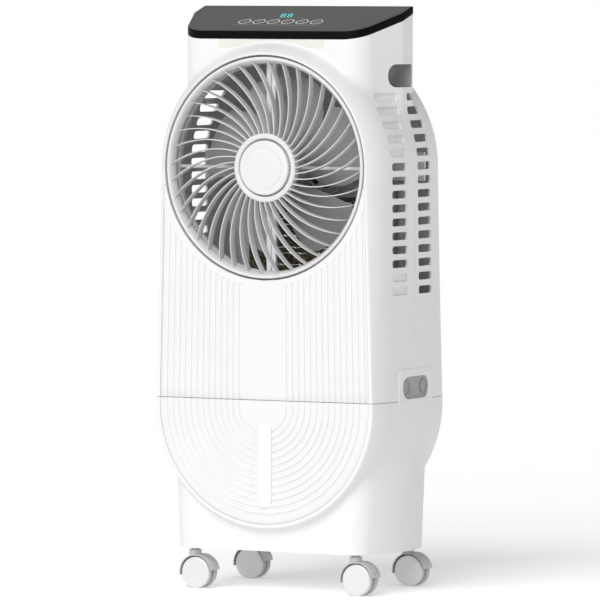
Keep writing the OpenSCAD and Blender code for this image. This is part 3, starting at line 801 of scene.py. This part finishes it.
def make_tabs():
    """Side tabs over the joint line, each with a grey insert and two screw wells."""
    def tab(inset):
        return rounded((TAB_Y[0], TAB_Z[0]), (TAB_Y[1], TAB_Z[1]), [4, 4, 12, 12], inset, steps=8)

    tabs, inserts = Shape(), Shape()
    for side in (-1, 1):
        rings = side_rings(tab, [(0, -1.5), (0, 0.8), (0.3, 1.2), (0.9, 1.35)], side)
        rings += side_rings(tab_recess, [(-0.6, 1.35), (-0.2, 1.2), (0, 0.8), (0, -4)], side)
        tabs.add(loft(rings))
        cup = [(0.05, -0.4), (0.5, -1), (1.6, -1.4), (3, -1.5)]
        inserts.add(loft(side_rings(tab_recess, cup, side), last=True))
        for y in TAB_WELLS:
            well = [(0.1, -1.5), (0.1, -0.5), (0.5, -0.2), (1.1, -0.2), (1.5, -0.5), (1.7, -3.4), (8, -3.4)]
            rings = side_rings(lambda inset: circle((y, TAB_MID_Z), TAB_WELL_R - inset), well, side)
            inserts.add(loft(rings, last=True))
    finish(tabs.mesh, "tab_pads", "casing", [WHITE], ["side_tabs"])
    finish(inserts.mesh, "tab_cups", "casing", [GRIP_GREY], ["tab_inserts"])


# ---------- controls ----------


def on_plate(x, y, height=0):
    """A point on the control plate's sloping top, raised by a height."""
    return (x, y, TOP_Z + (y - NECK_BACK) * TILT + height)


def plate_ring(outline, height):
    return [on_plate(x, y, height) for x, y in outline]


def make_plate():
    plate = Shape()
    sides = [(0.4, -PLATE_T + 0.3), (0, -PLATE_T + 0.7), (0, -1.3), (0.25, -0.6), (0.8, -0.1), (1.3, 0)]
    plate.add(loft([plate_ring(neck_outline(i), h) for i, h in sides], first=True))
    face = [(1.3, 0), (5.2, 0), (5.4, -0.35), (6.2, -0.35), (6.4, 0)]
    plate.add(loft([plate_ring(neck_outline(i), h) for i, h in face], last=True), 1)
    finish(plate.outward().mesh, "plate_body", "casing", [PLATE_EDGE, PLATE_FACE], ["control_plate"])


def stroke(points, width, height=0.12):
    """A thin printed line on the plate, along points given in x and y."""
    points = np.asarray(points, float)
    along = np.gradient(points, axis=0)
    across = np.stack([-along[:, 1], along[:, 0]], 1) / np.hypot(*along.T)[:, None] * width / 2
    return sheet_of([[on_plate(*p, height) for p in edge] for edge in (points - across, points + across)])


def make_controls():
    """Printed ring buttons with a mark in each, a fine line under them and a pilot lamp over each button."""
    low, high = corners("touch_pads")
    line_y = (low[1] + high[1]) / 2
    first, last = low[0] + 8.2, high[0] - 8.2
    prints, lamps = Shape(), Shape()
    symbols = Shape()
    for i, x in enumerate(np.linspace(first, last, 6)):
        turn = np.radians(np.arange(0, 361, 10))
        prints.add(stroke(np.stack([x + 7.8 * np.cos(turn), line_y + 7.8 * np.sin(turn)], 1), 1.5))
        arc = np.radians(np.arange(-150, 151, 20) + 60 * i)
        symbols.add(stroke(np.stack([x + 2.6 * np.cos(arc), line_y + 2.6 * np.sin(arc)], 1), 0.5))
        symbols.add(stroke([(x - 1.2, line_y), (x + 1.2, line_y)], 0.5))
        lamps.add(stroke([(x - 0.8 + 2.6, line_y + 11), (x + 0.8 + 2.6, line_y + 11)], 1.6), 0)
    prints.add(stroke([(first - 9, line_y - 13), (last + 9, line_y - 13)], 0.4))
    for mesh, name in ((prints, "button_rings"), (symbols, "button_marks")):
        finish(mesh.outward().mesh, name, "casing", [PRINT])
    finish(lamps.mesh, "pilot_lamps", "casing", [BLUE])


def make_display():
    """Two seven-segment digits under the dark window."""
    low, high = corners("display_window")
    x, y = (low[0] + high[0]) / 2, (low[1] + high[1]) / 2
    digits = Shape()
    w, h, slant = 5, 6.4, -0.25
    level = [((0, v), (1, v)) for v in (1, 0, -1)]
    upright = [((u, v), (u, v + 1)) for v in (0, -1) for u in (0, 1)]
    for origin in (x - 4.9, x + 4.9):
        for a, b in level + upright:
            ends = [np.array([origin + (u - 0.5) * w + slant * v * h, y + v * h]) for u, v in (a, b)]
            short = 0.12 * (ends[1] - ends[0])
            digits.add(stroke([ends[0] + short, ends[1] - short], 1.3))
    finish(digits.outward().mesh, "display_digits", "casing", [CYAN])
    dots = Shape()
    for dx in (22, 27.5):
        dots.add(stroke([(x + dx - 0.6, y - 9), (x + dx + 0.6, y - 9)], 1.2))
    finish(dots.outward().mesh, "display_dots", "casing", [PRINT])


def make_light_bar():
    """The diffuser under the plate, with round lower corners, following the neck's front."""
    low, high = corners("light_bar")
    front = NECK_CORNER[1] - NECK_CORNER[2]
    top = TOP_Z - PLATE_T + (front - NECK_BACK) * TILT - 0.2

    def ring(inset, y):
        outline = rounded((low[0], low[2] + 0.4), (high[0], top), [5, 5, 0.3, 0.3], inset, steps=8)
        return np.insert(np.array(outline), 1, front + y, axis=1)

    rings = [ring(*p) for p in ((0, 1.5), (0, -0.15), (0.3, -0.4), (1, -0.45))]
    bar = Shape().add(loft(rings, last=True)).outward()
    finish(bar.mesh, "light_diffuser", "casing", [DIFFUSER], ["light_bar"])


# ---------- louvre grille ----------


def vane(angle):
    """One swept blade of the grille: thin, deep, and drawn to a point over the ring's bevel."""
    f = GRILLE_FRONT
    half = [(0.45, GRILLE_BACK + 0.7), (0.7, f + 2), (0.62, f + 0.8), (0.3, f + 0.3)]
    section = half + [(-off, y) for off, y in reversed(half)]
    r0, r1 = HUB_R - 1.5, RING_R - 4.4
    rings = []
    for t in np.linspace(0, 1, 15):
        r = r0 + (r1 - r0) * t
        a = angle + VANE_SWEEP * t
        lean = a + math.atan2(r * VANE_SWEEP, r1 - r0)
        thin = 1 - 0.7 * t ** 8
        dip = 1.6 * t ** 10
        ring = []
        for off, y in section:
            y += dip if y < GRILLE_FRONT + 4 else 0
            ring.append((r * math.cos(a) - off * thin * math.sin(lean), y,
                         FAN_Z + r * math.sin(a) + off * thin * math.cos(lean)))
        rings.append(ring)
    return loft(rings, first=True, last=True)


def make_grille():
    f, b = GRILLE_FRONT, GRILLE_BACK
    ring = [(RING_R, b), (RING_R, f + 1.6), (RING_R - 0.4, f + 0.6), (RING_R - 1.3, f), (RING_R - 2.8, f),
            (RING_R - 3.6, f + 0.5), (RING_R - 5, f + 3), (RING_R - 8, f + 8), (RING_R - 8, b)]
    hub = [(HUB_R - 4, b), (HUB_R, b), (HUB_R, f + 2.6), (HUB_R - 0.5, f + 1.7), (HUB_R - 1.5, f + 1.2),
           (CAP_R + 4.2, f + 1.2), (CAP_R + 3, f + 1.8), (CAP_R + 2.2, f + 3), (CAP_R + 2.2, f + 9),
           (4, f + 9), (4, b)]
    grille = Shape().add(lathe(ring, segments=192)).add(lathe(hub))
    for i in range(VANES):
        grille.add(vane(2 * math.pi * i / VANES))
    finish(grille.outward().mesh, "louvre_vanes", "grille_rotor", [GRILLE_WHITE], ["louvre_grille"],
           sharp=40)
    cap_profile = [(AXIS_R, 8), (CAP_R, 8), (CAP_R, 1.6), (CAP_R - 0.5, 0.8), (CAP_R - 1.6, 0.4),
                   (26.6, 0.15), (26.2, 0.45), (25.6, 0.45), (25.2, -0.1), (14, -0.5), (AXIS_R, -0.6)]
    disc = Shape().add(lathe([(r, FRONT + y) for r, y in cap_profile])).outward()
    finish(disc.mesh, "hub_cap", "grille_rotor", [CAP_WHITE], ["grille_cap"])


def beam(x, y, z, edge=1.2):
    """A bar with rounded long edges, from its extents along the three axes. The longest is its length."""
    size = [b - a for a, b in (x, y, z)]
    axis = int(np.argmax(size))
    others = [e for i, e in enumerate((x, y, z)) if i != axis]
    outline = rounded((others[0][0], others[1][0]), (others[0][1], others[1][1]), [edge] * 4, steps=3)
    low, high = (x, y, z)[axis]
    return prism(outline, axis, low, high)


def make_spider():
    """The fixed cross frame behind the louvre, with its rim and the slow motor's cup."""
    low, high = corners("spider_frame")
    y0, y1 = low[1], high[1]
    spider = Shape()
    spider.add(lathe([(131, y0), (145, y0), (145, y1), (131, y1)], segments=128))
    spider.add(lathe([(3.2, y1), (30, y1), (30, y0 + 1), (29, y0), (3.2, y0)], segments=64))
    spider.add(beam((-6.5, 6.5), (y0 + 1, y1), (FAN_Z - 132, FAN_Z + 132)))
    spider.add(beam((-132, 132), (y0 + 2, y1), (FAN_Z - 2.2, FAN_Z + 2.2)))
    spider.add(beam((-1, 1), (y0 - 1.5, y0 + 1.5), (FAN_Z - 130, FAN_Z + 130), 0.4))
    finish(spider.outward().mesh, "cross_frame", "casing", [FRAME_GREY], ["spider_frame"])
    box = Shape().add(beam((-12, 4), (y1 + 0.5, y1 + 12), (FAN_Z + 92, FAN_Z + 104), 2))
    finish(box.outward().mesh, "lead_clip", "casing", [MOTOR_GREY])


# ---------- fan ----------


def make_fan():
    """Five broad twisted blades on a round hub."""
    low, high = corners("fan_blades")
    centre, depth = (low[1] + high[1]) / 2, (high[1] - low[1]) / 2
    radius = (high[0] - low[0]) / 2
    fan = Shape()
    count = 5
    for i in range(count):
        grid = []
        for r in np.linspace(20, radius, 16):
            t = (r - 20) / (radius - 20)
            spread = math.radians(27 + 6 * math.sin(math.pi * min(t * 1.1, 1)))
            row = []
            for s in np.linspace(-1, 1, 14):
                a = 2 * math.pi * i / count + spread * s + 0.35 * t
                round_off = 1 - 0.1 * abs(s) ** 6
                reach = 20 + (r - 20) * round_off
                y = centre - s * depth * (0.85 - 0.3 * t) + 3 * (1 - s * s)
                row.append((reach * math.cos(a), y, FAN_Z + reach * math.sin(a)))
            grid.append(row)
        points, faces = sheet_of(grid)
        back = points + np.array([0, 1.6, 0])
        fan.add((points, faces))
        fan.add((back, [tuple(reversed(f)) for f in faces]))
    f, b = centre - depth + 1, centre + depth - 1
    fan.add(lathe([(4.1, b), (26, b), (26, f + 6), (23, f + 2), (17, f), (4.1, f)], segments=64))
    # The blades and hub take the fan grey, which carries painted shade.
    finish(fan.mesh, "fan_rotor_blades", "fan_rotor", [FAN_SHADED_GREY], ["fan_blades"], sharp=50)


def make_motor():
    """The fan motor: a round case whose face and shoulder carry near-black sheets, painted shade where its
    cooling vents open.
    """
    low, high = corners("fan_motor")
    front, back = low[1] + 4, high[1]
    radius = (high[0] - low[0]) / 2
    profile = [(4.2, back), (radius, back), (radius, front + 6), (radius - 2, front + 2), (radius - 6, front),
               (14, front), (12, front - 4), (4.2, front - 4)]
    case = Shape().add(lathe(profile, segments=96)).outward()
    finish(case.mesh, "motor_case", "casing", [MOTOR_CASE], ["fan_motor"])
    # Near-black sheets laid just off the case: painted shade standing in for the dark insides of the cooling
    # vents.
    slot_shadows = Shape()
    for i in range(20):
        middle_of = 2 * math.pi * i / 20
        for inner, outer, y0, y1 in ((radius - 13, radius - 5.5, front - 0.15, front - 0.15),
                                     (radius + 0.15, radius + 0.15, front + 9, front + 24)):
            rows = []
            for share in (0, 1):
                r = inner + (outer - inner) * share
                y = y0 + (y1 - y0) * share
                turns = middle_of + np.linspace(-0.1, 0.1, 4)
                rows.append([(r * math.cos(a), y, FAN_Z + r * math.sin(a)) for a in turns])
            slot_shadows.add(sheet_of(rows))
    finish(slot_shadows.mesh, "motor_slot_shadows", "casing", [DARK])


def make_mouth_collar():
    """The round duct behind the mouth, seen dark through the gap round the grille."""
    near, far, outer = FRONT + 1.5, FRONT + 18, MOUTH_R + 1.6
    profile = [(MOUTH_R, near), (outer, near), (outer, far), (MOUTH_R, far)]
    collar = Shape().add(lathe(profile, segments=160)).outward()
    finish(collar.mesh, "mouth_collar", "casing", [INNER])


# ---------- wet section ----------


def make_pad():
    """Corrugated sheets glued crest to crest, as in a honeycomb cooling pad."""
    low, high = corners("cooling_pad")
    pad = Shape()
    pitch, height, wall = 14, 7.4, 0.5
    near, far = low[1] + 0.5, high[1] - 0.5
    x = np.arange(low[0] + 0.5, high[0] - 0.5, pitch / 8)
    for row, z in enumerate(np.arange(low[2] + height / 2 + 1, high[2] - height / 2, height)):
        wave = z + (height / 2 - 0.6) * np.sin(2 * math.pi * x / pitch + math.pi * (row % 2))
        edges = ((near, -wall), (far, -wall), (far, wall), (near, wall), (near, -wall))
        pad.add(sheet_of([[(a, y, b + up) for a, b in zip(x, wave)] for y, up in edges]))
    finish(pad.mesh, "honeycomb_sheets", "casing", [BRONZE_PAD], ["cooling_pad"], sharp=60)


# ---------- casters ----------


def make_wheels(corner):
    """A pair of wheels with glossy flat faces and a duller tread."""
    node = f"wheels_{corner}"
    low, high = corners(node)
    x, y, z = (low + high) / 2
    radius = (high[2] - low[2]) / 2
    angle = np.arange(64) * 2 * math.pi / 64
    wheels = Shape()
    for side in (-1, 1):
        inner, outer = side * 2.2, side * (high[1] - low[1]) / 2
        tread = [(3.1, inner), (radius - 1.2, inner), (radius, inner + side * 1.2),
                 (radius, outer - side * 2.2)]
        face = [(radius, -2.2), (radius - 0.3, -1.3), (radius - 1.2, -0.5), (radius - 2.6, 0),
                (radius - 5, 0.1), (radius - 6, -0.1), (9, 0.35), (AXIS_R, 0.6)]
        face = [(r, outer + side * out) for r, out in face]
        for paint, profile in ((1, tread), (0, face)):
            rings = [np.stack([x + r * np.cos(angle), np.full(64, y + off), z + r * np.sin(angle)], 1)
                     for r, off in profile]
            wheels.add(loft(rings), paint)
    finish(wheels.outward().mesh, f"twin_wheels_{corner}", f"wheel_{corner}", [WHEEL_WHITE, TREAD], [node])


def make_hood(corner):
    """The mudguard over the wheels, its middle web and the swivel stem."""
    node = f"hood_{corner}"
    low, high = corners(f"wheels_{corner}")
    x, y, z = (low + high) / 2
    half = (corners(node)[1][1] - corners(node)[0][1]) / 2
    rim = (high[2] - low[2]) / 2 + HOOD_GAP
    hood = Shape()
    turns = np.radians(np.linspace(8, 190, 30))
    section = [(-1.2, half - 0.3), (-0.5, half), (0, half - 0.6), (0.25, 0), (0, -half + 0.6),
               (-0.5, -half), (-1.2, -half + 0.3), (-1.2, 0)]
    rings = [[(x + (rim + out) * math.cos(t), y + off, z + (rim + out) * math.sin(t)) for out, off in section]
             for t in turns]
    hood.add(loft(rings, first=True, last=True))
    web = [(x + (rim - 1.5) * math.cos(t), z + (rim - 1.5) * math.sin(t)) for t in turns]
    hood.add(prism(web, 1, y - 1.5, y + 1.5))
    round_stem = np.arange(32) * 2 * math.pi / 32
    stem = [(8, z + rim - 3), (8, BASE_Z - 5), (7.4, BASE_Z - 3.5), (5, BASE_Z - 2.5), (5, BASE_Z + 16)]
    rings = [np.stack([x - STEM_TRAIL + r * np.cos(round_stem), y + r * np.sin(round_stem),
                       np.full(32, float(h))], 1) for r, h in stem]
    hood.add(loft(rings, first=True, last=True))
    finish(hood.outward().mesh, f"mudguard_{corner}", f"swivel_{corner}", [HOOD_GREY], [node],
           sharp=40)


# ---------- the CAD nodes that stay ----------


def paint_nodes():
    finishes = {
        "control_board": BOARD_GREEN, "display_window": DARK, "touch_pads": PLATE_FACE,
        "grille_shaft": STEEL, "grille_motor": STEEL, "fan_shaft": STEEL, "fan_nut": MOTOR_GREY,
        "motor_bracket": FRAME_GREY, "motor_screws": STEEL, "pad_frame": FRAME_GREY,
        "water_trough": FRAME_GREY, "riser_hose": HOSE, "water_pump": PUMP_BLACK, "tank_deck": FRAME_GREY,
        "rear_grille": WHITE,
        "dust_filter": FILTER_MESH, "tab_screws": STEEL, "filler_door": WHITE, "filler_pin": STEEL,
        "drain_plug": RUBBER, "cord_gland": DARK, "float_sensor": WHITE, "deck_screws": STEEL,
        "caster_sockets": FRAME_GREY,
    }
    for corner in CASTERS:
        finishes[f"axle_{corner}"] = STEEL
    for name, finish_of in finishes.items():
        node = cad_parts[name]
        node.data.materials.clear()
        node.data.materials.append(finish_of)


# ---------- floor, light and camera ----------


def studio_sky():
    """A soft sky that is white close to the horizon, so that it meets the floor without a line."""
    world = bpy.data.worlds.new("studio")
    world.use_nodes = True
    nodes, links = world.node_tree.nodes, world.node_tree.links
    split = nodes.new("ShaderNodeSeparateXYZ")
    links.new(nodes.new("ShaderNodeTexCoord").outputs["Generated"], split.inputs["Vector"])
    fade = nodes.new("ShaderNodeMapRange")
    for socket, value in (("From Min", 0.08), ("From Max", 0.16), ("To Min", 1), ("To Max", 0.42)):
        fade.inputs[socket].default_value = value
    links.new(split.outputs["Z"], fade.inputs["Value"])
    background = nodes["Background"]
    background.inputs["Color"].default_value = (1, 1, 1, 1)
    links.new(fade.outputs["Result"], background.inputs["Strength"])
    return world


def make_floor():
    reach = FLOOR_HALF
    floor = Shape().add(sheet_of([[(x * reach, y * reach, 0) for x in (-1, 1)] for y in (-1, 1)]))
    bmesh.ops.scale(floor.mesh, vec=(MM,) * 3, verts=floor.mesh.verts)
    data = bpy.data.meshes.new("floor")
    floor.mesh.to_mesh(data)
    data.materials.append(plastic("floor_paper", (0.95, 0.95, 0.95), rough=0.9, shade=0.005, bump=0,
                                  Emission_Color=(1, 1, 1, 1), Emission_Strength=0.24))
    ground = bpy.data.objects.new("floor", data)
    bpy.context.scene.collection.objects.link(ground)


def make_light():
    """The sky and one broad lamp, high in front."""
    bpy.context.scene.world = studio_sky()
    lamp = bpy.data.lights.new("key", "SUN")
    lamp.energy = KEY_STRENGTH
    lamp.angle = math.radians(KEY_SPREAD)
    light = bpy.data.objects.new("key", lamp)
    light.rotation_mode = "QUATERNION"
    light.rotation_quaternion = Vector(KEY_DIRECTION).to_track_quat("Z", "Y")
    bpy.context.scene.collection.objects.link(light)
    bpy.context.scene.view_settings.view_transform = "Standard"


def make_camera():
    azimuth, elevation = math.radians(CAMERA_AZIMUTH), math.radians(CAMERA_ELEVATION)
    target = Vector((0, 0, CAMERA_TARGET_Z * MM))
    back = Vector((math.sin(azimuth) * math.cos(elevation), -math.cos(azimuth) * math.cos(elevation),
                   math.sin(elevation)))
    data = bpy.data.cameras.new("camera")
    data.lens = CAMERA_LENS
    data.sensor_width = 36
    data.clip_end = 400
    camera = bpy.data.objects.new("camera", data)
    camera.location = target + back * CAMERA_DISTANCE
    camera.rotation_mode = "QUATERNION"
    camera.rotation_quaternion = back.to_track_quat("Z", "Y")
    bpy.context.scene.collection.objects.link(camera)
    bpy.context.scene.camera = camera


make_camera()
make_floor()
make_light()
make_shells()
make_slot_floors()
make_front_panel()
make_tank_panel()
make_gauge()
make_grips()
make_tabs()
make_plate()
make_controls()
make_display()
make_light_bar()
make_mouth_collar()
make_grille()
make_spider()
make_fan()
make_motor()
make_pad()
for caster in CASTERS:
    make_wheels(caster)
    make_hood(caster)
paint_nodes()
